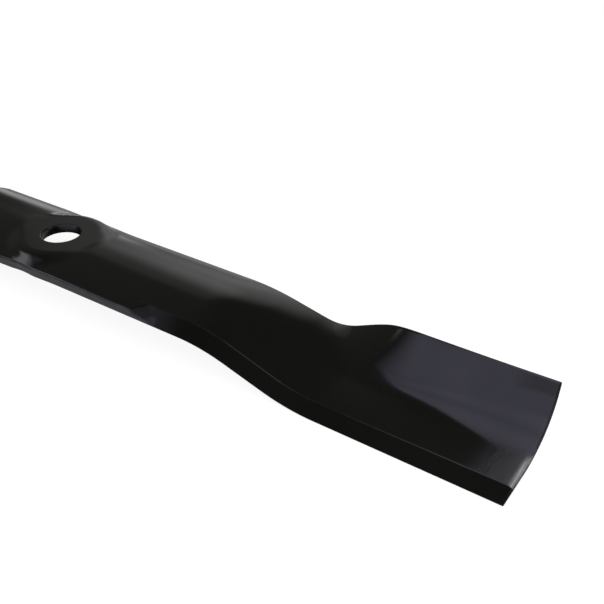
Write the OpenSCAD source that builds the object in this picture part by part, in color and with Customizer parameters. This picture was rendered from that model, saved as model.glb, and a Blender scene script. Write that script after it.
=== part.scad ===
// Rotary mower blade: one pressed steel bar with a centre bore, cranked ends and raised wings.
// Millimetres, +Z up along the spindle. The origin is the middle of the bore on the top seat.
// The bar runs along X. Both arms share one rule: the second is the first turned half round Z.
// Across the bar, "place" runs from the leading (cutting) side, negative, to the trailing side.

/* [Bar] */
// Overall length, end to end
blade_length = 523; // [440:1:640]
// Width of the bar, measured along its surface
blade_width = 56; // [46:0.5:70]
// Thickness of the bar
blade_thickness = 5; // [3.5:0.1:8]
// Small break along the upper long edges
edge_break = 0.8; // [0.4:0.1:1.4]

/* [Hub] */
// Diameter of the centre bore
bore_diameter = 20; // [12:0.1:26]
// Diameter of the flat pressed around the bore
seat_diameter = 39; // [30:0.5:44]
// Distance over which the flat fades into the arched bar
seat_fade = 9.6; // [7:0.1:16]
// Depth of the flat below the crown of the arms
seat_depth = 0.5; // [0:0.1:1.5]

/* [Arm] */
// Height of the arch across the arm
arm_crown = 6.2; // [2:0.1:8]
// Angle by which the leading side of the arm is raised
arm_tilt = 1.4; // [0:0.1:4]
// How far the arm's side walls follow its slope: 0 upright, 1 square to the surface
wall_lean = 0.35; // [0:0.05:1]

/* [Crank] */
// Distance from the bore to the start of the downward crank
crank_start = 104; // [85:0.5:120]
// Length of the crank along the bar
crank_run = 73.4; // [55:0.1:85]
// Height the cutting end sits below the hub
crank_drop = 16.6; // [8:0.1:24]
// Share of the crank taken by each of its two curves
crank_soft = 0.36; // [0.2:0.01:0.5]

/* [Wing] */
// Distance from the bore to where the wing begins to rise
wing_start = 147.4; // [130:0.1:160]
// Length over which the wing rises to its full angle
wing_run = 54.4; // [40:0.1:62]
// Angle of the wing above the cutting strip, where the rise ends
wing_angle = 54.3; // [40:0.1:60]
// Radius of the bend between strip and wing, where the rise ends
wing_bend_radius = 11.1; // [7:0.1:16]
// Place of the bend's start there, from the middle of the bar
wing_bend_place = -1.5; // [-5:0.1:3]
// Angle of the wing at the tip, where it has curled on
wing_tip_angle = 75.3; // [55:0.1:80]
// Radius of the wider bend at the tip
wing_tip_radius = 23.2; // [16:0.1:30]
// Place of the bend's start at the tip
wing_tip_place = -7.2; // [-10:0.1:-2]
// Share of the rise taken by each of its two curves
wing_soft = 0.34; // [0.2:0.01:0.5]
// Slope of the flat cutting strip across its width
strip_tilt = 2.2; // [0:0.1:4]

/* [Cutting edge] */
// Width of the ground bevel
bevel_width = 6; // [4:0.1:10]
// Height of the blunt land left under the bevel
edge_land = 0.6; // [0.3:0.1:1.2]
// Distance ahead of the crank at which grinding begins
bevel_lead = 28; // [20:0.5:34]
// Length in which the bevel reaches its full width
bevel_entry = 6.5; // [4:0.5:9]
// Length in which the bevel reaches its full depth
bevel_sink = 14; // [10:0.5:18]

/* [Tip] */
// Length of the rounded fall at the end of the strip
tip_run = 3.2; // [2:0.1:5]
// Drop of that rounded fall at the strip
tip_drop = 0.8; // [0.3:0.1:3]
// Share of that drop left on the wing
tip_wing_share = 0.2; // [0.1:0.05:1]
// How far the end faces lean in from top to bottom
end_rake = 1.2; // [0:0.1:1.6]

/* [Resolution] */
// Steps across the flat strip
strip_steps = 3; // [2:1:6]
// Steps across the wing's bend
bend_steps = 10; // [4:1:12]
// Steps across the flat part of the wing
flap_steps = 3; // [2:1:6]
// Stations along the seat's flat
seat_steps = 4; // [3:1:8]
// Stations along the seat's fade
fade_steps = 5; // [3:1:8]
// Stations along the crank and the wing's rise
form_steps = 24; // [12:1:36]
// Stations along the widening bend, from there to the tip
spread_steps = 8; // [4:1:16]
// Stations along the rounded tip
tip_steps = 4; // [3:1:8]
// Sides of the bore's circle
bore_facets = 96; // [48:12:180]

/* [Hidden] */
paint_black = [0.03, 0.03, 0.035];
half_length = blade_length / 2;
half_width = blade_width / 2;
seat_radius = seat_diameter / 2;
seat_end = seat_radius + seat_fade;
seat_soft = 0.45;
root_arc = wing_bend_radius * wing_angle * PI / 180;
tip_arc = wing_tip_radius * wing_tip_angle * PI / 180;
tip_blend = tip_arc / 3;
wing_full = wing_start + wing_run;
bevel_begin = crank_start - bevel_lead;
bevel_wide = bevel_begin + bevel_entry;
bevel_deep = bevel_begin + bevel_sink;
tip_begin = half_length - tip_run;
form_end = min(max(crank_start + crank_run, wing_full), tip_begin);
cells = strip_steps + bend_steps + flap_steps;
ring_size = 2 * cells + 4;
probe = 0.05;
closest = 0.4;
least_flap = 1.5;
least_turn = 0.001;
lean_gain = 1.5;
overshoot = 1;

function within(t) = max(0, min(1, t));
function mix(a, b, t) = a + (b - a) * t;

// A rise from 0 to 1 with a curved start, a straight middle and a curved end
function ease(t, soft) = let (u = within(t), bow = 2 * soft * (1 - soft))
    u < soft ? u * u / bow : u > 1 - soft ? 1 - (1 - u) * (1 - u) / bow : (u - soft / 2) / (1 - soft);

function crank_share(x) = ease((x - crank_start) / crank_run, crank_soft);
function wing_share(x) = ease((x - wing_start) / wing_run, wing_soft);
function seat_share(x, place) = 1 - ease((norm([x, place]) - seat_radius) / seat_fade, seat_soft);
function tilt_share(x) = ease(x / seat_end, seat_soft);
function tip_share(x) = within((x - tip_begin) / tip_run);

// The wing's bend: its start drifts to the leading side and its arc widens on the way to the tip
function spread_share(x) = within((x - wing_full) / max(1, half_length - wing_full));
function bend_place(x) = mix(wing_bend_place, wing_tip_place, spread_share(x));
function bend_arc(x) = mix(root_arc, tip_arc, spread_share(x));
function bend_turn(x) = mix(wing_angle, wing_tip_angle, spread_share(x)) * wing_share(x);

// Height of the top surface before the wing is bent up
function arm_height(x, place) = (1 - seat_share(x, place))
    * (seat_depth - arm_crown * pow(place / half_width, 2) - tilt_share(x) * tan(arm_tilt) * place);
function strip_height(place) = -crank_drop + tan(strip_tilt) * place;

// Top surface in the section plane at x, as [y, z]: the wing rolls up round an arc of fixed length
function top_at(x, place) =
    let (base = mix(arm_height(x, place), strip_height(place), crank_share(x)), turn = bend_turn(x))
    turn < least_turn ? [place, base] : rolled(place, base, turn, bend_place(x), bend_arc(x));
function rolled(place, base, turn, start, arc) =
    let (past = max(0, place - start),
         on_arc = min(past, arc),
         beyond = past - on_arc,
         radius = arc / (turn * PI / 180),
         swept = turn * on_arc / arc)
    [place - past + radius * sin(swept) + beyond * cos(turn),
     base + radius * (1 - cos(swept)) + beyond * sin(turn)];

// Slope of the section, and the direction its thickness is measured in
function slope_at(x, place) = let (ahead = top_at(x, place + probe), behind = top_at(x, place - probe))
    atan2(ahead[1] - behind[1], ahead[0] - behind[0]);
function lean_at(x) = mix(wall_lean, 1, within(lean_gain * wing_share(x)));

// The rounded fall at the tip, full on the strip and slight on the wing
function tip_fall(x, place) = tip_drop * pow(tip_share(x), 2)
    * mix(1, tip_wing_share, ease((place - wing_tip_place) / tip_blend, seat_soft));

// A point of the solid: a given depth below the top surface, drawn in where the end face leans
function raked(x, place, depth) = x
    - end_rake * tip_share(x) * max(0, depth - tip_fall(x, place)) / blade_thickness;
function point_at(x, place, depth) = let (top = top_at(x, place), angle = slope_at(x, place) * lean_at(x))
    [raked(x, place, depth), top[0] + depth * sin(angle), top[1] - depth * cos(angle)];

// The leading edge: a small break on the arm that opens into the ground bevel
function lead_width(x) = mix(edge_break, bevel_width, within((x - bevel_begin) / bevel_entry));
function lead_depth(x) = mix(edge_break, blade_thickness - edge_land, within((x - bevel_begin) / bevel_sink));
function lead_place(x) = -half_width
    + lead_width(x) * (1 - min(tip_fall(x, -half_width), lead_depth(x)) / lead_depth(x));
function trail_place() = half_width - edge_break;

// Lines along the bar: evenly spread on the arm, gathered on the wing's bend further out
function even_place(x, k) = mix(lead_place(x), trail_place(), k / cells);
function bend_end(x) = min(bend_place(x) + bend_arc(x), trail_place() - least_flap);
function wing_place(x, k) =
    k <= strip_steps ? mix(lead_place(x), bend_place(x), k / strip_steps)
    : k <= strip_steps + bend_steps ? mix(bend_place(x), bend_end(x), (k - strip_steps) / bend_steps)
    : mix(bend_end(x), trail_place(), (k - strip_steps - bend_steps) / flap_steps);
function line_place(x, k) = mix(even_place(x, k), wing_place(x, k),
    ease((x - crank_start) / max(1, wing_start - crank_start), seat_soft));
function floor_place(x, k) = k == 0 ? -half_width : k == cells ? half_width : line_place(x, k);

// One closed section of the first arm: over the top from leading to trailing, back underneath
function arm_ring(x) = concat(
    [point_at(x, -half_width, lead_depth(x))],
    [for (k = [0:cells]) point_at(x, line_place(x, k), tip_fall(x, line_place(x, k)))],
    [point_at(x, half_width, edge_break + tip_fall(x, half_width))],
    [for (k = [cells:-1:0]) point_at(x, floor_place(x, k), blade_thickness)]);

// The same section turned half round Z, listed again from the near side to the far side
function turned(p) = [-p[0], -p[1], p[2]];
function far_ring(x) = let (ring = arm_ring(x), last = cells + 2)
    concat([for (i = [last:-1:0]) turned(ring[i])], [for (i = [ring_size - 1:-1:last + 1]) turned(ring[i])]);

// Distances from the bore at which sections are taken, in order and never too close
function ordered(list) = len(list) < 2 ? list :
    let (pivot = list[floor(len(list) / 2)])
    concat(ordered([for (a = list) if (a < pivot) a]), [for (a = list) if (a == pivot) a],
           ordered([for (a = list) if (a > pivot) a]));
function spaced(list) = [for (i = [0:len(list) - 1])
    if (i == len(list) - 1 || list[i + 1] - list[i] > closest) list[i]];
seat_stations = [for (i = [1:seat_steps]) seat_radius * i / seat_steps];
fade_stations = [for (i = [1:fade_steps]) seat_radius + seat_fade * i / fade_steps];
form_stations = [for (i = [0:form_steps]) mix(crank_start, form_end, i / form_steps)];
spread_stations = [for (i = [1:spread_steps]) mix(form_end, tip_begin, i / spread_steps)];
tip_stations = [for (i = [0:tip_steps]) tip_begin + tip_run * sqrt(i / tip_steps)];
stations = spaced(ordered(concat(seat_stations, fade_stations, [bevel_begin, bevel_wide, bevel_deep],
                                 form_stations, spread_stations, tip_stations)));

rings = concat(
    [for (i = [len(stations) - 1:-1:0]) far_ring(stations[i])],
    [arm_ring(0)],
    [for (x = stations) arm_ring(x)]);
skin_points = [for (ring = rings) each ring];

function at(i, j) = i * ring_size + j % ring_size;
skin_faces = [for (i = [0:len(rings) - 2], j = [0:ring_size - 1])
    each [[at(i, j), at(i, j + 1), at(i + 1, j)], [at(i, j + 1), at(i + 1, j + 1), at(i + 1, j)]]];

// The two square ends, each a strip of triangles between the top and bottom lines
function end_faces(i) = concat(
    [[at(i, 0), at(i, 1), at(i, ring_size - 1)]],
    [for (k = [0:cells - 1]) each [
        [at(i, 1 + k), at(i, 2 + k), at(i, ring_size - 2 - k)],
        [at(i, 1 + k), at(i, ring_size - 2 - k), at(i, ring_size - 1 - k)]]],
    [[at(i, cells + 1), at(i, cells + 2), at(i, cells + 3)]]);
function flipped(faces) = [for (f = faces) [f[0], f[2], f[1]]];

module bar() {
    polyhedron(points = skin_points,
               faces = concat(skin_faces, end_faces(len(rings) - 1), flipped(end_faces(0))),
               convexity = 6);
}

module blade() {
    color(paint_black)
    difference() {
        bar();
        translate([0, 0, -blade_thickness - overshoot])
            cylinder(d = bore_diameter, h = blade_thickness + 2 * overshoot, $fn = bore_facets);
    }
}

blade();
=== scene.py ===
from math import cos, hypot, pi, radians, sin, sqrt, tan

import bpy
from mathutils import Matrix, Vector


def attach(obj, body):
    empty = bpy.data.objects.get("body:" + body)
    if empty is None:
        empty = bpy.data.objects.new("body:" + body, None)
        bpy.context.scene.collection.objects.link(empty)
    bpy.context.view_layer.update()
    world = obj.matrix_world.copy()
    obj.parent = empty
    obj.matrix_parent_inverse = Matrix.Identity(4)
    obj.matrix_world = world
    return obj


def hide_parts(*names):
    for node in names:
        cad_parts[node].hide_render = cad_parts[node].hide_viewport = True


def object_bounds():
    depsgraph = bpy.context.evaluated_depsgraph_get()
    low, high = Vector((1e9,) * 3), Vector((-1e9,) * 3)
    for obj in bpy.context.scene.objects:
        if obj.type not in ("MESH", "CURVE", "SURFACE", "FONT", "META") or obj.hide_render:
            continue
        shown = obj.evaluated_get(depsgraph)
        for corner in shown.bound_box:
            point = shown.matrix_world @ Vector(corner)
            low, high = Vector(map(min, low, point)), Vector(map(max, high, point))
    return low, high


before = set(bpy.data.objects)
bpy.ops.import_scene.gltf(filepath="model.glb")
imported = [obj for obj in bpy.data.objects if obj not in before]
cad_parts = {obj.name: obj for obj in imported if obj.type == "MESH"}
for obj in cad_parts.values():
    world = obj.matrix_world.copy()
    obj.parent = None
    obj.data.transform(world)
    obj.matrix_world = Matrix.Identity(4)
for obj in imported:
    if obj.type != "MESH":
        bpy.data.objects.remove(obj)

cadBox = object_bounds()  # the CAD model's own box, kept before anything is added
scene = bpy.context.scene
scene.view_settings.view_transform = "Standard"
mm = 0.001
print("frame loaded, nodes:", sorted(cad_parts))


# sRGB hex to linear colour
def linear(hexColour):
    parts = [int(hexColour[i:i + 2], 16) / 255 for i in (1, 3, 5)]
    return [c / 12.92 if c <= 0.04045 else ((c + 0.055) / 1.055) ** 2.4 for c in parts] + [1]


# adds one node with its settings, and feeds its inputs with links or plain values;
# a colour mix has its two colours at 6 and 7 and its result at 2
def addNode(tree, kind, settings={}, feeds={}):
    node = tree.nodes.new(kind)
    for name, value in settings.items():
        setattr(node, name, value)
    for key, feed in feeds.items():
        if isinstance(feed, bpy.types.NodeSocket):
            tree.links.new(feed, node.inputs[key])
        else:
            node.inputs[key].default_value = feed
    return node


# works through a list of sums: name, operation, terms, where a term is a name made earlier or a number
def doSums(tree, made, sums):
    for name, operation, *terms in sums:
        feeds = {n: made.get(term, term) for n, term in enumerate(terms)}
        made[name] = addNode(tree, "ShaderNodeMath", {"operation": operation}, feeds).outputs["Value"]


# the node tree of a new material or world, emptied
def emptyTree(owner):
    owner.use_nodes = True
    owner.node_tree.nodes.clear()
    return owner.node_tree


# the camera stands where the photograph was taken from, for a square picture
viewFrom = {
    "place": (326.77, -249.84, 201.16),  # mm
    "azimuth": 34.871, "elevation": 31.849, "roll": -0.012,  # degrees, azimuth round the bore's axis
    "lens": 50.338, "sensor": 36,  # mm
    "clip": (0.01, 50),  # m
}


def setCamera():
    turn, rise, roll = (radians(viewFrom[name]) for name in ("azimuth", "elevation", "roll"))
    backwards = Vector((sin(turn) * cos(rise), -cos(turn) * cos(rise), sin(rise)))
    level = Vector((cos(turn), sin(turn), 0))
    across = cos(roll) * level + sin(roll) * backwards.cross(level)
    upwards = backwards.cross(across)
    lens = bpy.data.cameras.new("photoCamera")
    lens.sensor_width = viewFrom["sensor"]
    lens.lens = viewFrom["lens"]
    lens.clip_start, lens.clip_end = viewFrom["clip"]
    camera = bpy.data.objects.new("photoCamera", lens)
    scene.collection.objects.link(camera)
    pose = Matrix((across, upwards, backwards)).transposed().to_4x4()
    pose.translation = Vector(viewFrom["place"]) * mm
    camera.matrix_world = pose
    scene.camera = camera


setCamera()
print("camera set")


# the flat bar as it is before pressing, mm: sheared, ground, bored and broken at its edges
barSizes = {
    "length": 523, "width": 56, "thickness": 5,
    "edgeRound": 0.9, "wingRound": 1.1,  # upper long edges, and what the trailing one grows to
    "growFrom": 40, "growRun": 100, "growSoft": 0.4,  # where along the arm it grows
    "underRound": 0.35,  # lower long edges
    "endRound": 0.3,  # edges of the two square ends
    "bore": 20, "rimRound": 0.7,
    "bevelWidth": 6, "edgeLand": 0.6,
    "bevelBegin": 76, "bevelWide": 82.5, "bevelDeep": 90,  # distances from the bore
    "creaseRound": 0.16,  # softness of the ground edges
    "tipRun": 3.2, "tipDrop": 0.8, "tipWingShare": 0.2,  # the rounded end, and how much of it is on the wing
    "tipBlendFrom": -7.2, "tipBlend": 10, "tipSoft": 0.45,  # where across the bar it changes over
    "endRake": 1.2,  # how far the end faces lean in from top to bottom
}
# how closely that bar is meshed
barMeshing = {
    "hubSquare": 20, "hubSteps": 13, "hubRows": 26,  # half size of the patch round the bore, and its grid
    # from there outwards: how far from the bore, mm, and in how many steps
    "stretches": ((36, 11), (74, 14), (92, 36), (100, 5), (202, 68)),
    "wingSteps": 22, "tipLead": 1,  # from there to just before the rounded end
    "tipSteps": (1.2, 1, 0.86, 0.72, 0.58, 0.46, 0.36, 0.27, 0.19),  # shares of the rounded end
    "endSteps": (1, 0.3, 0),  # shares of the end's own round
    "roundAngles": (0, 20, 36, 52, 70, 90),  # degrees round the long edges
    # rows in from the long edges, mm, close together at the bevel's top line
    "edgeRows": (1.4, 1.8, 2.4, 3, 3.6, 4.2, 4.8, 5.3, 5.65, 5.85, 6, 6.15, 6.35, 6.8, 7.4),
    "wallRows": (0.3, 0.62),  # shares of the way down the long walls
    "ringShares": (0.16, 0.32, 0.47, 0.61, 0.73, 0.83, 0.91, 0.96),  # from the patch in to the bore's rim
    "rimAngles": (0, 18, 36, 54, 72, 90),  # degrees over the rim
    "hair": 0.001,  # mm, less than any step
    "sharpFrom": 48,  # degrees between faces, keeps the cutting edge and the ends crisp
}
barHalf, barEnd = barSizes["width"] / 2, barSizes["length"] / 2


# a rise from 0 to 1 with a curved start, a straight middle and a curved end
def ease(reach, soft):
    share = min(1, max(0, reach))
    late = max(0, share - 1 + soft)
    bent = (min(share, soft) ** 2 - late * late) / (2 * soft * (1 - soft))
    return bent + max(0, share - soft) / (1 - soft)


# depth of a quarter round of the given radius, at a distance in from the edge
def quarter(distance, radius):
    gap = radius - distance
    return radius - sqrt(radius * radius - gap * gap) if gap > 0 else 0


# the larger of two depths, with the crease between them rounded
def softMax(a, b, width):
    reach = max(0, width - abs(a - b))
    return max(a, b) + reach * reach / (4 * width)


# evenly spread numbers from start to end, end left out
def spread(start, end, count):
    return [start + (end - start) * i / count for i in range(count)]


# how far along the rounded end a point lies, from 0 to 1
def tipShare(along):
    return min(1, max(0, (along - barEnd + barSizes["tipRun"]) / barSizes["tipRun"]))


# the rounded fall at the end, full on the strip and slight on the wing
def tipFall(along, place):
    bar = barSizes
    wing = ease((place - bar["tipBlendFrom"]) / bar["tipBlend"], bar["tipSoft"])
    return bar["tipDrop"] * tipShare(along) ** 2 * (1 + (bar["tipWingShare"] - 1) * wing)


# radius of the upper trailing edge at a distance along the arm
def trailRound(along):
    bar = barSizes
    grown = ease((along - bar["growFrom"]) / bar["growRun"], bar["growSoft"])
    return bar["edgeRound"] + (bar["wingRound"] - bar["edgeRound"]) * grown


# depth of the bar's upper face below the flat, at a distance along the arm and a place across it
def upperDepth(along, place):
    bar = barSizes
    fromLead, fromTrail = barHalf + place, barHalf - place
    deep = bar["thickness"] - bar["edgeLand"]
    face = deep * (1 - fromLead / bar["bevelWidth"])
    slope = deep / (bar["bevelDeep"] - bar["bevelBegin"])
    slant = fromLead * (bar["bevelWide"] - bar["bevelBegin"]) / bar["bevelWidth"]
    entry = slope * (along - bar["bevelBegin"] - slant)
    ground = -softMax(-face, -entry, bar["creaseRound"])
    lead = quarter(fromLead, bar["edgeRound"]) if along < bar["bevelDeep"] else 0
    trail = tipFall(along, place) + quarter(fromTrail, trailRound(along))
    return min(deep, softMax(max(lead, trail), ground, bar["creaseRound"]))


def lowerDepth(place):
    return barSizes["thickness"] - quarter(barHalf - abs(place), barSizes["underRound"])


# places across the bar where the mesh has a row of points
def barRows():
    square = barMeshing["hubSquare"]
    rounds = (barSizes["edgeRound"], barSizes["wingRound"])
    inset = [radius * (1 - cos(radians(a))) for radius in rounds for a in barMeshing["roundAngles"]]
    inset += barMeshing["edgeRows"]
    rows = [-barHalf + d for d in inset] + [barHalf - d for d in inset]
    rows += spread(-square, square, barMeshing["hubRows"]) + [square]
    return sorted(set(round(y, 4) for y in rows))


# places along the bar where the mesh has a section
def barStations():
    grid, tipRun = barMeshing, barSizes["tipRun"]
    reaches = [(grid["hubSquare"], grid["hubSteps"]), *grid["stretches"]]
    reaches += [(barEnd - tipRun - grid["tipLead"], grid["wingSteps"])]
    steps, start = [], 0
    for reach, count in reaches:
        steps += spread(start, reach, count)
        start = reach
    steps += [barEnd - tipRun * share for share in grid["tipSteps"]]
    steps += [barEnd - barSizes["endRound"] * share for share in grid["endSteps"]]
    return [-x for x in reversed(steps[1:])] + steps


# the bar's mesh as it grows: points in mm, where each named point lies in that list, and faces
points, named, faces = [], {}, []
rows, stations = barRows(), barStations()
lastRow, lastStation = len(rows) - 1, len(stations) - 1


def addPoint(name, x, y, z):
    named[name] = len(points)
    points.append((x, y, z))


def addFace(corners, order=1):
    faces.append([named[name] for name in corners[::order]])


# names of the points down a long wall
def wallNames(i, j):
    return [("top", i, j), *[("wall", i, j, n) for n in range(len(barMeshing["wallRows"]))], ("low", i, j)]


# points of the upper and lower faces and of the long walls
def layPoints():
    bar = barSizes
    for i, x in enumerate(stations):
        along, side = abs(x), 1 if x >= 0 else -1
        near = max(0, along - barEnd + bar["endRound"])
        cut = bar["endRound"] - sqrt(max(0, bar["endRound"] ** 2 - near * near))  # rounds the end's own edges
        rake = side * bar["endRake"] * tipShare(along) / bar["thickness"]
        for j, y in enumerate(rows):
            top, low = upperDepth(along, y * side), lowerDepth(y * side)
            shave = min(cut, (low - top) / 3)  # thin edges keep a third of their thickness
            fall = tipFall(along, y * side)
            for name, deep in (("top", top + shave), ("low", low - shave)):
                addPoint((name, i, j), x - rake * max(0, deep - fall), y * (1 - cut / barHalf), -deep)
        for j in (0, lastRow):
            upper, lower = points[named["top", i, j]], points[named["low", i, j]]
            for n, share in enumerate(barMeshing["wallRows"]):
                addPoint(("wall", i, j, n), *[a + (b - a) * share for a, b in zip(upper, lower)])


# faces of the bar, apart from the square patch round the bore
def coverBar():
    patch = barMeshing["hubSquare"] + barMeshing["hair"]
    for i in range(lastStation):
        farthest = max(abs(stations[i]), abs(stations[i + 1]))
        for j in range(lastRow):
            if max(farthest, abs(rows[j]), abs(rows[j + 1])) < patch:
                continue
            addFace([("top", i, j), ("top", i + 1, j), ("top", i + 1, j + 1), ("top", i, j + 1)])
            addFace([("low", i, j), ("low", i, j + 1), ("low", i + 1, j + 1), ("low", i + 1, j)])
        for j, order in ((0, 1), (lastRow, -1)):
            here, there = wallNames(i, j), wallNames(i + 1, j)
            for n in range(len(here) - 1):
                addFace([here[n], here[n + 1], there[n + 1], there[n]], order)
    for i, order in ((0, -1), (lastStation, 1)):  # the two square ends
        for j in range(lastRow):
            first = wallNames(i, j)[1:-1] if j == 0 else []
            final = wallNames(i, lastRow)[-2:0:-1] if j == lastRow - 1 else []
            down, up = [("top", i, j), *first, ("low", i, j)], [("low", i, j + 1), *final, ("top", i, j + 1)]
            addFace([*down, *up], order)


# rings from the square patch in to the bore, over its rounded rim and down its wall
def ringBore():
    square, hair = barMeshing["hubSquare"], barMeshing["hair"]
    i1, i2 = (i for i, x in enumerate(stations) if abs(abs(x) - square) < hair)
    j1, j2 = (j for j, y in enumerate(rows) if abs(abs(y) - square) < hair)
    loop = [(i, j1) for i in range(i1, i2)] + [(i2, j) for j in range(j1, j2)]
    loop += [(i, j2) for i in range(i2, i1, -1)] + [(i1, j) for j in range(j2, j1, -1)]
    rim, rimFoot = barSizes["rimRound"], barSizes["bore"] / 2 + barSizes["rimRound"]
    turns = [radians(a) for a in barMeshing["rimAngles"]]
    for face in ("top", "low"):
        for k, (i, j) in enumerate(loop):
            reach = hypot(stations[i], rows[j])
            path = [(reach + (rimFoot - reach) * share, 0) for share in barMeshing["ringShares"]]
            path += [(rimFoot - rim * sin(turn), rim * (1 - cos(turn))) for turn in turns]
            for n, (far, fall) in enumerate(path):
                z = -fall if face == "top" else fall - barSizes["thickness"]
                addPoint(("hub", face, n, k), stations[i] / reach * far, rows[j] / reach * far, z)
    inmost = len(path) - 1
    for k in range(len(loop)):
        k2 = (k + 1) % len(loop)
        for face, order in (("top", 1), ("low", -1)):
            outer = [(face, *loop[k]), (face, *loop[k2])]
            for n in range(len(path)):
                inner = [("hub", face, n, k), ("hub", face, n, k2)]
                addFace([outer[0], outer[1], inner[1], inner[0]], order)
                outer = inner
        upper, lower = ([("hub", face, inmost, end) for end in (k, k2)] for face in ("top", "low"))
        addFace([*upper, *reversed(lower)])


# where the paint is ground, scuffed and rubbed, the rubbing partly real wear and partly a painted highlight
# along edges and ends: lengths in mm, strengths from 0 to 1
wearAndHighlightMarks = {
    "groundFrom": 0.04, "landKept": 0.5,  # how deep the grinding begins, and how much of the wall it leaves
    "groundEntry": 0.45, "groundRun": 26,  # how strong the grinding is where it enters, and where it is full
    "knockedEnd": 0.9, "knockedDull": 0.6,  # strip along the wing's end that is knocked dull, and how dull
    "scuffReach": 24, "scuffRun": 20,  # scuffed stretch of the cutting end, and over what it fades in
    "scuffSide": 2, "scuffFade": 8,  # where across the bar it stops, and over what it fades out
    "crestWearAndHighlight": 0.25, "crestReach": 0.5,  # rubbing along the bevel's top line, partly a painted highlight line there, and how far it spreads
    "endReach": 1.2,  # how far rubbing, partly a painted highlight, spreads from the ends
    "soft": 0.4,
}


# what the paint needs to know at each point: its place on the flat bar, and how that place is marked
def noteWearAndHighlights(mesh, used):
    mark, bar = wearAndHighlightMarks, barSizes
    notes = {"flatPlace": "FLOAT_VECTOR", "edgeWearAndHighlight": "FLOAT", "groundFace": "FLOAT", "scuffedEnd": "FLOAT"}
    for name, kind in notes.items():
        mesh.attributes.new(name, kind, "POINT")
    flat, edge, ground, scuff = (mesh.attributes[name].data for name in notes)
    for n, v in enumerate(used):
        x, y, z = points[v]
        along, place = abs(x), y * (1 if x >= 0 else -1)
        fromEdge, fromEnd = barHalf - abs(place), barEnd - along
        upper = z > -bar["thickness"] / 2
        flat[n].vector = (x * mm, y * mm, z * mm)
        overBevel = place < -barHalf + bar["bevelWidth"] and -z > mark["groundFrom"]
        onEntry = upper and along > bar["bevelBegin"]
        onFace = along > bar["bevelDeep"] and z > -bar["thickness"] + mark["landKept"]
        if upper and place > 0 and fromEnd < mark["knockedEnd"]:
            ground[n].value = mark["knockedDull"]
        elif overBevel and (onEntry or onFace):
            grown = ease((along - bar["bevelWide"]) / mark["groundRun"], mark["soft"])
            ground[n].value = mark["groundEntry"] + (1 - mark["groundEntry"]) * grown
        if upper:
            fadeIn = ease((mark["scuffReach"] - fromEnd) / mark["scuffRun"], mark["soft"])
            scuff[n].value = fadeIn * ease((mark["scuffSide"] - place) / mark["scuffFade"], mark["soft"])
        # painted highlight: the rubbing marked at the ends, the bevel's top line, the upper edges and the
        # bore's rim is partly real wear and partly stands in for their bright highlights
        rubsAndHighlights = [0, 1 - fromEnd / mark["endReach"]]
        if along > bar["bevelBegin"] and place < 0:
            rubsAndHighlights.append(mark["crestWearAndHighlight"] * (1 - abs(fromEdge - bar["bevelWidth"]) / mark["crestReach"]))
        elif upper:
            rubsAndHighlights.append(1 - fromEdge / bar["edgeRound"])
        if upper:
            rubsAndHighlights.append(1 - (hypot(x, y) - bar["bore"] / 2) / (2 * bar["rimRound"]))
        edge[n].value = max(rubsAndHighlights)


def makeBar():
    layPoints()
    coverBar()
    ringBore()
    used = sorted(set(v for face in faces for v in face))
    fresh = {v: n for n, v in enumerate(used)}
    mesh = bpy.data.meshes.new("bladeBar")
    corners = [[c * mm for c in points[v]] for v in used]
    mesh.from_pydata(corners, [], [[fresh[v] for v in face] for face in faces])
    noteWearAndHighlights(mesh, used)
    mesh.validate()
    mesh.update()
    return mesh


barMesh = makeBar()
print("flat bar:", len(barMesh.vertices), "points,", len(barMesh.polygons), "faces")


# black stoving paint on pressed steel, sprayed and baked: a deep gloss black with a faint orange peel,
# thinner and greyer where the edges were rubbed, a grey that also paints their bright highlights, and dull
# with grinding marks on the bevel and the ends
paintLook = {
    "black": "#060604", "blackDull": "#0a0a07", "rubbedAndHighlightGrey": "#2c2d2f",
    "cloud": 34, "patch": 5, "peel": 1.6, "peelDepth": 0.012, "peelStrength": 0.5,  # sizes in mm
    "grind": 0.7, "grindLength": 14,  # mm, drawn coarser than real grit so that it shows
    "grindDepth": 1.2,  # relief of the grinding marks, where that of the orange peel is 1
    "details": {"cloud": 4, "patch": 3, "peel": 1.5, "grind": 2},
    # noise from and to, and what the paint is there: how far it is rubbed and lightened as painted highlight,
    # its roughness and its shine
    "rubAndHighlightRange": (0.42, 0.62, 0.05, 0.4), "glossRange": (0.3, 0.7, 0.10, 0.15),
    "shineRange": (0.35, 0.65, 0.54, 0.46),
    "rubRough": 0.2, "groundRough": 0.25, "scuffRough": 0.5,  # roughness that each mark adds
    "groundShine": 0.05,  # what is left of the shine where it is ground
    "ior": 1.5,
}


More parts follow.
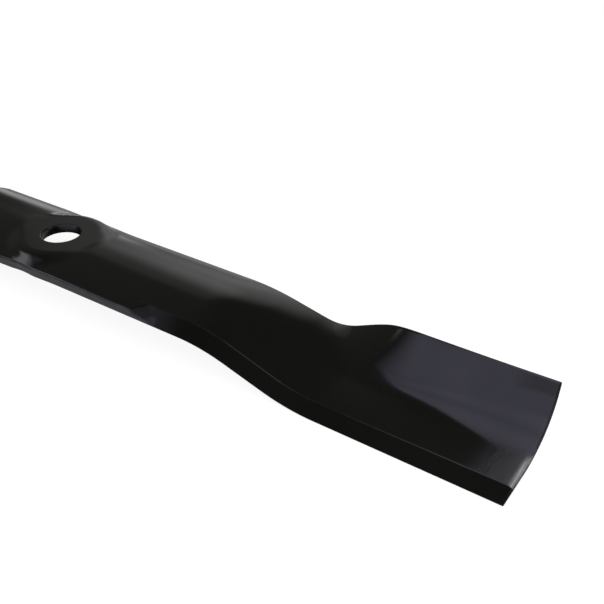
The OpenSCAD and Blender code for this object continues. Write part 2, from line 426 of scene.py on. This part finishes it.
def makePaint():
    look = paintLook
    coat = bpy.data.materials.new("blackStovingPaint")
    tree = emptyTree(coat)
    place = addNode(tree, "ShaderNodeTexCoord").outputs["Object"]
    made = {}
    for name, attribute in (("edge", "edgeWearAndHighlight"), ("ground", "groundFace"), ("scuff", "scuffedEnd")):
        made[name] = addNode(tree, "ShaderNodeAttribute", {"attribute_name": attribute}).outputs["Fac"]
    for name in ("cloud", "patch", "peel"):
        made[name] = addNode(tree, "ShaderNodeTexNoise", {}, {
            "Vector": place, "Scale": 1 / (look[name] * mm), "Detail": look["details"][name]}).outputs["Fac"]
    flat = addNode(tree, "ShaderNodeAttribute", {"attribute_name": "flatPlace"}).outputs["Vector"]
    fine, drawn = 1 / (look["grind"] * mm), 1 / (look["grindLength"] * mm)
    stretched = addNode(tree, "ShaderNodeMapping", {}, {
        "Vector": flat, "Scale": (fine, drawn, drawn)}).outputs["Vector"]
    made["grind"] = addNode(tree, "ShaderNodeTexNoise", {}, {
        "Vector": stretched, "Scale": 1, "Detail": look["details"]["grind"]}).outputs["Fac"]
    for name, noise, key in (("rubAndHighlightAt", "patch", "rubAndHighlightRange"), ("gloss", "cloud", "glossRange"),
                             ("clear", "cloud", "shineRange")):
        low, high, atLow, atHigh = look[key]
        made[name] = addNode(tree, "ShaderNodeMapRange", {}, {
            "Value": made[noise], "From Min": low, "From Max": high,
            "To Min": atLow, "To Max": atHigh}).outputs["Result"]
    made["kept"] = addNode(tree, "ShaderNodeMapRange", {}, {
        "Value": made["ground"], "To Min": 1.0, "To Max": look["groundShine"]}).outputs["Result"]
    doSums(tree, made, [
        ("rubAndHighlight", "MULTIPLY", "edge", "rubAndHighlightAt"), ("rubGloss", "MULTIPLY_ADD", "rubAndHighlight", look["rubRough"], "gloss"),
        ("dull", "MULTIPLY_ADD", "ground", look["groundRough"], "rubGloss"),
        ("streak", "MULTIPLY", "grind", "scuff"),
        ("hazy", "MULTIPLY_ADD", "streak", look["scuffRough"], "dull"),
        ("shine", "MULTIPLY", "clear", "kept"),
        ("marked", "ADD", "ground", "scuff"), ("marks", "MULTIPLY", "grind", "marked"),
        ("relief", "MULTIPLY_ADD", "marks", look["grindDepth"], "peel"),
    ])
    black = addNode(tree, "ShaderNodeMix", {"data_type": "RGBA"}, {
        "Factor": made["cloud"], 6: linear(look["black"]), 7: linear(look["blackDull"])}).outputs[2]
    # painted highlight: the edges are mixed towards a lighter grey, as rubbed paint and as their bright
    # highlight lines
    colour = addNode(tree, "ShaderNodeMix", {"data_type": "RGBA"}, {
        "Factor": made["rubAndHighlight"], 6: black, 7: linear(look["rubbedAndHighlightGrey"])}).outputs[2]
    bump = addNode(tree, "ShaderNodeBump", {}, {
        "Height": made["relief"], "Strength": look["peelStrength"],
        "Distance": look["peelDepth"] * mm}).outputs["Normal"]
    shader = addNode(tree, "ShaderNodeBsdfPrincipled", {}, {
        "Base Color": colour, "Roughness": made["hazy"], "Specular IOR Level": made["shine"],
        "Normal": bump, "IOR": look["ior"], "Metallic": 0.0}).outputs["BSDF"]
    addNode(tree, "ShaderNodeOutputMaterial", {}, {"Surface": shader})
    return coat


paint = makePaint()
print("paint mixed")


# how the press forms the top of that bar, as in the part's source, with the wing's curl eased in
pressSizes = {
    "halfWidth": 28 * mm, "halfLength": 261.5 * mm,
    "seatRadius": 19.5 * mm, "seatFade": 9.6 * mm, "seatSoft": 0.45, "seatDepth": 0.5 * mm,
    "armCrown": 6.2 * mm, "armSlope": tan(radians(1.4)),
    "crankStart": 104 * mm, "crankRun": 73.4 * mm, "crankDrop": 16.6 * mm, "crankSoft": 0.36,
    "wingStart": 147.4 * mm, "wingRun": 54.4 * mm, "wingSoft": 0.34,
    "wingAngle": radians(54.3), "bendPlace": -1.5 * mm, "bendArc": 11.1 * mm * radians(54.3),
    "tipAngle": radians(75.3), "tipPlace": -7.2 * mm, "tipArc": 23.2 * mm * radians(75.3), "curlSoft": 0.2,
    "stripSlope": tan(radians(2.2)),
}
# how far the bar's thickness follows the slope: 0 upright, 1 square to the surface;
# the wing follows less than in the part's source, so that its far wall is hidden
leanSizes = {"wallLean": 0.35, "wingLean": 0.72, "leanGain": 1.5}
pressSteps = {
    "slopeStep": 0.2 * mm,  # how far to each side the slope is measured
    "middleHair": -0.0000001,  # the bar's middle counts with its first arm
    "leastTurn": 0.00001,  # radians, keeps the bend's radius finite where there is no wing
}
number = "NodeSocketFloat"


# a tree of Geometry Nodes with its named inputs, ready to be filled
def newTree(name, inputs, outputs):
    tree = bpy.data.node_groups.new(name, "GeometryNodeTree")
    for label, kind in inputs:
        tree.interface.new_socket(label, in_out="INPUT", socket_type=kind)
    for label, kind in outputs:
        tree.interface.new_socket(label, in_out="OUTPUT", socket_type=kind)
    return tree, addNode(tree, "NodeGroupInput").outputs


# the same eased rise as above, for the press
def makeEase():
    tree, given = newTree("easedRise", [("reach", number), ("soft", number)], [("share", number)])
    made = {"reach": given["reach"], "soft": given["soft"]}
    doSums(tree, made, [
        ("floored", "MAXIMUM", "reach", 0.0), ("u", "MINIMUM", "floored", 1.0),
        ("rest", "SUBTRACT", 1.0, "soft"),
        ("half", "MULTIPLY", "soft", "rest"), ("bow", "MULTIPLY", "half", 2.0),
        ("early", "MINIMUM", "u", "soft"), ("earlyCurve", "MULTIPLY", "early", "early"),
        ("past", "SUBTRACT", "u", "rest"), ("late", "MAXIMUM", "past", 0.0),
        ("lateCurve", "MULTIPLY", "late", "late"), ("curves", "SUBTRACT", "earlyCurve", "lateCurve"),
        ("bent", "DIVIDE", "curves", "bow"), ("after", "SUBTRACT", "u", "soft"),
        ("onLine", "MAXIMUM", "after", 0.0), ("straight", "DIVIDE", "onLine", "rest"),
        ("share", "ADD", "bent", "straight"),
    ])
    addNode(tree, "NodeGroupOutput", {}, {"share": made["share"]})
    return tree


# the pressed top surface: how far out across the bar and how high a point of the flat top ends up
def makeTop(easeTree):
    inputs = ["along", "place", *pressSizes]
    tree, given = newTree("pressedTop", [(name, number) for name in inputs],
                          [(name, number) for name in ("out", "up", "wing")])
    made = {name: given[name] for name in inputs}
    doSums(tree, made, [
        ("alongTwice", "MULTIPLY", "along", "along"),
        ("reachTwice", "MULTIPLY_ADD", "place", "place", "alongTwice"),
        ("reach", "SQRT", "reachTwice"), ("pastSeat", "SUBTRACT", "reach", "seatRadius"),
        ("seatReach", "DIVIDE", "pastSeat", "seatFade"), ("seatEnd", "ADD", "seatRadius", "seatFade"),
        ("tiltReach", "DIVIDE", "along", "seatEnd"),
        ("pastCrank", "SUBTRACT", "along", "crankStart"), ("crankReach", "DIVIDE", "pastCrank", "crankRun"),
        ("pastWing", "SUBTRACT", "along", "wingStart"), ("wingReach", "DIVIDE", "pastWing", "wingRun"),
        ("wingFull", "ADD", "wingStart", "wingRun"), ("pastFull", "SUBTRACT", "along", "wingFull"),
        ("room", "SUBTRACT", "halfLength", "wingFull"), ("curlReach", "DIVIDE", "pastFull", "room"),
    ])
    for name, reach, soft in (("offSeat", "seatReach", "seatSoft"), ("tilt", "tiltReach", "seatSoft"),
                              ("crank", "crankReach", "crankSoft"), ("wing", "wingReach", "wingSoft"),
                              ("curl", "curlReach", "curlSoft")):
        made[name] = addNode(tree, "GeometryNodeGroup", {"node_tree": easeTree}, {
            "reach": made[reach], "soft": made[soft]}).outputs["share"]
    doSums(tree, made, [
        ("share", "DIVIDE", "place", "halfWidth"), ("shareTwice", "MULTIPLY", "share", "share"),
        ("arch", "MULTIPLY", "shareTwice", "armCrown"), ("slope", "MULTIPLY", "tilt", "armSlope"),
        ("slant", "MULTIPLY_ADD", "slope", "place", "arch"), ("raised", "SUBTRACT", "seatDepth", "slant"),
        ("arm", "MULTIPLY", "offSeat", "raised"),
        ("stripTilt", "MULTIPLY", "stripSlope", "place"), ("strip", "SUBTRACT", "stripTilt", "crankDrop"),
        ("stripGap", "SUBTRACT", "strip", "arm"), ("base", "MULTIPLY_ADD", "stripGap", "crank", "arm"),
        ("placeGap", "SUBTRACT", "tipPlace", "bendPlace"),
        ("start", "MULTIPLY_ADD", "placeGap", "curl", "bendPlace"),
        ("arcGap", "SUBTRACT", "tipArc", "bendArc"), ("arc", "MULTIPLY_ADD", "arcGap", "curl", "bendArc"),
        ("angleGap", "SUBTRACT", "tipAngle", "wingAngle"),
        ("angle", "MULTIPLY_ADD", "angleGap", "curl", "wingAngle"),
        ("bent", "MULTIPLY", "wing", "angle"), ("turn", "MAXIMUM", "bent", pressSteps["leastTurn"]),
        ("overBend", "SUBTRACT", "place", "start"), ("past", "MAXIMUM", "overBend", 0.0),
        ("onArc", "MINIMUM", "past", "arc"), ("beyond", "SUBTRACT", "past", "onArc"),
        ("radius", "DIVIDE", "arc", "turn"), ("swept", "DIVIDE", "onArc", "radius"),
        ("sweptSine", "SINE", "swept"), ("sweptCosine", "COSINE", "swept"),
        ("lift", "SUBTRACT", 1.0, "sweptCosine"),
        ("turnSine", "SINE", "turn"), ("turnCosine", "COSINE", "turn"),
        ("flatPart", "SUBTRACT", "place", "past"),
        ("arcPart", "MULTIPLY_ADD", "radius", "sweptSine", "flatPart"),
        ("out", "MULTIPLY_ADD", "beyond", "turnCosine", "arcPart"),
        ("arcUp", "MULTIPLY_ADD", "radius", "lift", "base"),
        ("up", "MULTIPLY_ADD", "beyond", "turnSine", "arcUp"),
    ])
    addNode(tree, "NodeGroupOutput", {}, {name: made[name] for name in ("out", "up", "wing")})
    return tree


# the press itself: each point of the flat bar goes to its place under the formed top, both arms alike
def makePress(topTree):
    geometry = ("Geometry", "NodeSocketGeometry")
    sizes = [(name, number) for name in [*pressSizes, *leanSizes]]
    tree, given = newTree("bladePress", [geometry, ("paint", "NodeSocketMaterial"), *sizes], [geometry])
    position = addNode(tree, "GeometryNodeInputPosition").outputs["Position"]
    spot = addNode(tree, "ShaderNodeSeparateXYZ", {}, {"Vector": position}).outputs
    made = {"x": spot["X"], "y": spot["Y"], "z": spot["Z"]}
    made.update({name: given[name] for name in leanSizes})
    doSums(tree, made, [
        ("onFirst", "GREATER_THAN", "x", pressSteps["middleHair"]),
        ("side", "MULTIPLY_ADD", "onFirst", 2.0, -1.0),
        ("along", "ABSOLUTE", "x"), ("place", "MULTIPLY", "y", "side"), ("depth", "MULTIPLY", "z", -1.0),
        ("ahead", "ADD", "place", pressSteps["slopeStep"]),
        ("behind", "SUBTRACT", "place", pressSteps["slopeStep"]),
    ])
    for name in ("place", "ahead", "behind"):
        feeds = {size: given[size] for size in pressSizes}
        feeds.update({"along": made["along"], "place": made[name]})
        formed = addNode(tree, "GeometryNodeGroup", {"node_tree": topTree}, feeds).outputs
        made.update({name + "Out": formed["out"], name + "Up": formed["up"], name + "Wing": formed["wing"]})
    doSums(tree, made, [
        ("rise", "SUBTRACT", "aheadUp", "behindUp"), ("run", "SUBTRACT", "aheadOut", "behindOut"),
        ("slope", "ARCTAN2", "rise", "run"),
        ("wingGain", "MULTIPLY", "placeWing", "leanGain"), ("onWing", "MINIMUM", "wingGain", 1.0),
        ("leanGap", "SUBTRACT", "wingLean", "wallLean"),
        ("lean", "MULTIPLY_ADD", "onWing", "leanGap", "wallLean"),
        ("angle", "MULTIPLY", "slope", "lean"),
        ("angleSine", "SINE", "angle"), ("angleCosine", "COSINE", "angle"),
        ("outwards", "MULTIPLY_ADD", "depth", "angleSine", "placeOut"),
        ("newY", "MULTIPLY", "outwards", "side"),
        ("sunk", "MULTIPLY", "depth", "angleCosine"), ("newZ", "SUBTRACT", "placeUp", "sunk"),
    ])
    moved = addNode(tree, "ShaderNodeCombineXYZ", {}, {
        "X": made["x"], "Y": made["newY"], "Z": made["newZ"]}).outputs["Vector"]
    pressed = addNode(tree, "GeometryNodeSetPosition", {}, {"Geometry": given["Geometry"], "Position": moved})
    whole = addNode(tree, "GeometryNodeRealizeInstances", {}, {"Geometry": pressed.outputs["Geometry"]})
    coated = addNode(tree, "GeometryNodeSetMaterial", {}, {
        "Geometry": whole.outputs["Geometry"], "Material": given["paint"]}).outputs["Geometry"]
    addNode(tree, "NodeGroupOutput", {}, {"Geometry": coated})
    return tree


pressTree = makePress(makeTop(makeEase()))
print("press built:", len(pressTree.nodes), "nodes")

blade = bpy.data.objects.new("mowerBlade", barMesh)
scene.collection.objects.link(blade)
press = blade.modifiers.new("bladePress", "NODES")
press.node_group = pressTree
sockets = {item.name: item.identifier for item in pressTree.interface.items_tree if item.in_out == "INPUT"}
for name, value in {**pressSizes, **leanSizes, "paint": paint}.items():
    press[sockets[name]] = value
graph = bpy.context.evaluated_depsgraph_get()
pressedBlade = blade.evaluated_get(graph)
formedMesh = bpy.data.meshes.new_from_object(pressedBlade, preserve_all_data_layers=True, depsgraph=graph)
blade.modifiers.clear()
blade.data = formedMesh
formedMesh.name = "mowerBlade"
formedMesh.shade_smooth()
formedMesh.set_sharp_from_angle(angle=radians(barMeshing["sharpFrom"]))
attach(blade, "root")
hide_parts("blade")
print("blade pressed:", len(formedMesh.polygons), "faces")


# pale floor under the blade's lowest edge
floorLook = {
    "size": 8,  # m
    "colour": "#f4f4f3", "glow": 0.92,  # how much of the white that the camera sees is the paper's own
    # painted light and shade on the paper as the gloss shows it: bluish as if lit in front of the blade,
    # darker as if in shade behind it, and at which Y, mm
    "frontPaintedLight": "#dedbf8", "frontAt": -900, "backPaintedShade": "#989898", "backAt": 20,
}


# matt white paper, as on a photo table: plain white to the camera with its soft shadow kept; in the gloss its
# colour is painted light and shade, bluish in front and darker behind
def makePaper():
    sheet = bpy.data.materials.new("whitePaper")
    tree = emptyTree(sheet)
    rays = addNode(tree, "ShaderNodeLightPath").outputs
    glow = addNode(tree, "ShaderNodeMath", {"operation": "MULTIPLY"}, {
        0: rays["Is Camera Ray"], 1: floorLook["glow"]}).outputs["Value"]
    place = addNode(tree, "ShaderNodeTexCoord").outputs["Object"]
    depth = addNode(tree, "ShaderNodeSeparateXYZ", {}, {"Vector": place}).outputs["Y"]
    # painted shade: how far towards the back the paper lies, where its colour in the gloss darkens as if in
    # shade
    paintedShadeShare = addNode(tree, "ShaderNodeMapRange", {}, {
        "Value": depth, "From Min": floorLook["frontAt"] * mm,
        "From Max": floorLook["backAt"] * mm}).outputs["Result"]
    # painted light and shade: the paper's colour in the gloss, bluish in front as if lit and grey behind as
    # if shaded
    paintedLightAndShade = addNode(tree, "ShaderNodeMix", {"data_type": "RGBA"}, {
        "Factor": paintedShadeShare, 6: linear(floorLook["frontPaintedLight"]), 7: linear(floorLook["backPaintedShade"])}).outputs[2]
    tone = addNode(tree, "ShaderNodeMix", {"data_type": "RGBA"}, {
        "Factor": rays["Is Glossy Ray"], 6: linear(floorLook["colour"]), 7: paintedLightAndShade}).outputs[2]
    matt = addNode(tree, "ShaderNodeBsdfDiffuse", {}, {"Color": tone}).outputs["BSDF"]
    white = addNode(tree, "ShaderNodeEmission", {}, {
        "Color": (1, 1, 1, 1), "Strength": 1.0}).outputs["Emission"]
    paper = addNode(tree, "ShaderNodeMixShader", {}, {0: glow, 1: matt, 2: white}).outputs["Shader"]
    addNode(tree, "ShaderNodeOutputMaterial", {}, {"Surface": paper})
    return sheet


def layFloor():
    side, lowest = floorLook["size"] / 2, cadBox[0].z
    mesh = bpy.data.meshes.new("tableTop")
    corners = [(x * side, y * side, lowest) for x, y in ((-1, -1), (1, -1), (1, 1), (-1, 1))]
    mesh.from_pydata(corners, [], [(0, 1, 2, 3)])
    mesh.materials.append(makePaper())
    floor = bpy.data.objects.new("tableTop", mesh)
    scene.collection.objects.link(floor)


layFloor()
print("floor laid")


# the room: dim, with soft cards round it that the gloss shows, and plain white to the camera.
# Where a card's middle lies, degrees round from +Y towards +X and degrees up, the cosines of the
# angles from it where it begins and is full, and its brightness, where 1 is white
roomDim = 0.05
cards = {
    "frontCard": {"towards": (165, 0), "fade": "LINEAR", "from": 0.25, "full": 0.68,
                  "bright": 1.17, "colour": "#e1dfff"},
    "leftCard": {"towards": (-85, 30), "fade": "SMOOTHSTEP", "from": 0.7, "full": 1,
                 "bright": 0.06, "colour": "#ffffff"},
    "backCard": {"towards": (-25, 16), "fade": "SMOOTHSTEP", "from": 0.9, "full": 0.99,
                 "bright": 0.52, "colour": "#ffffff"},
    "hazeCard": {"towards": (-42, 28), "fade": "SMOOTHSTEP", "from": 0.968, "full": 0.99,
                 "bright": 0.15, "colour": "#ffffff"},
    "sideCard": {"towards": (-47, 1), "fade": "SMOOTHSTEP", "from": 0.99, "full": 0.9995,
                 "bright": 1.0, "colour": "#ffffff"},
}


def makeRoom():
    room = bpy.data.worlds.new("photoRoom")
    scene.world = room
    tree = emptyTree(room)
    heading = addNode(tree, "ShaderNodeTexCoord").outputs["Generated"]
    lit = (roomDim, roomDim, roomDim, 1)
    for card in cards.values():
        bearing, rise = (radians(a) for a in card["towards"])
        aim = (sin(bearing) * cos(rise), cos(bearing) * cos(rise), sin(rise))
        facing = addNode(tree, "ShaderNodeVectorMath", {"operation": "DOT_PRODUCT"}, {
            0: heading, 1: aim}).outputs["Value"]
        share = addNode(tree, "ShaderNodeMapRange", {"interpolation_type": card["fade"]}, {
            "Value": facing, "From Min": card["from"], "From Max": card["full"],
            "To Max": card["bright"]}).outputs["Result"]
        adding = {"data_type": "RGBA", "blend_type": "ADD", "clamp_factor": False}
        lit = addNode(tree, "ShaderNodeMix", adding, {
            "Factor": share, 6: lit, 7: linear(card["colour"])}).outputs[2]
    rays = addNode(tree, "ShaderNodeLightPath").outputs
    seen = addNode(tree, "ShaderNodeMix", {"data_type": "RGBA"}, {
        "Factor": rays["Is Camera Ray"], 6: lit, 7: (1, 1, 1, 1)}).outputs[2]
    backdrop = addNode(tree, "ShaderNodeBackground", {}, {
        "Color": seen, "Strength": 1.0}).outputs["Background"]
    addNode(tree, "ShaderNodeOutputWorld", {}, {"Surface": backdrop})


makeRoom()
print("room set:", len(cards), "cards")

# lamps face straight down: place and size in mm, turn about the upright and spread in degrees,
# brightness where 1 is white, and whether the gloss shows them
lamps = {
    "topCard": {"place": (314, -8, 120), "size": (300, 460), "turn": -28, "spread": 110,
                "bright": 0.545, "colour": "#e1dfff", "inGloss": True},
    "tipLamp": {"place": (330, 150, 118), "size": (120, 140), "turn": -28, "spread": 180,
                "bright": 9, "colour": "#ffffff", "inGloss": True},
    "sideBox": {"place": (-175, -140, 120), "size": (84, 68), "turn": 0, "spread": 180,
                "bright": 0.9, "colour": "#ffffff", "inGloss": True},
    "sideWide": {"place": (-175, -140, 121), "size": (134, 112), "turn": 0, "spread": 180,
                 "bright": 0.8, "colour": "#ffffff", "inGloss": True},
    "keyLight": {"place": (300, -200, 2000), "size": (2600, 2600), "turn": 0, "spread": 180,
                 "bright": 3.2, "colour": "#ffffff", "inGloss": False},
}
for name, lamp in lamps.items():
    light = bpy.data.lights.new(name, "AREA")
    light.shape = "RECTANGLE"
    light.size, light.size_y = (c * mm for c in lamp["size"])
    light.energy = lamp["bright"] * pi * light.size * light.size_y
    light.color = linear(lamp["colour"])[:3]
    light.spread = radians(lamp["spread"])
    hung = bpy.data.objects.new(name, light)
    scene.collection.objects.link(hung)
    hung.location = Vector(lamp["place"]) * mm
    hung.rotation_euler.z = radians(lamp["turn"])
    hung.visible_camera = False
    hung.visible_glossy = lamp["inGloss"]
print("lamps hung:", len(lamps))
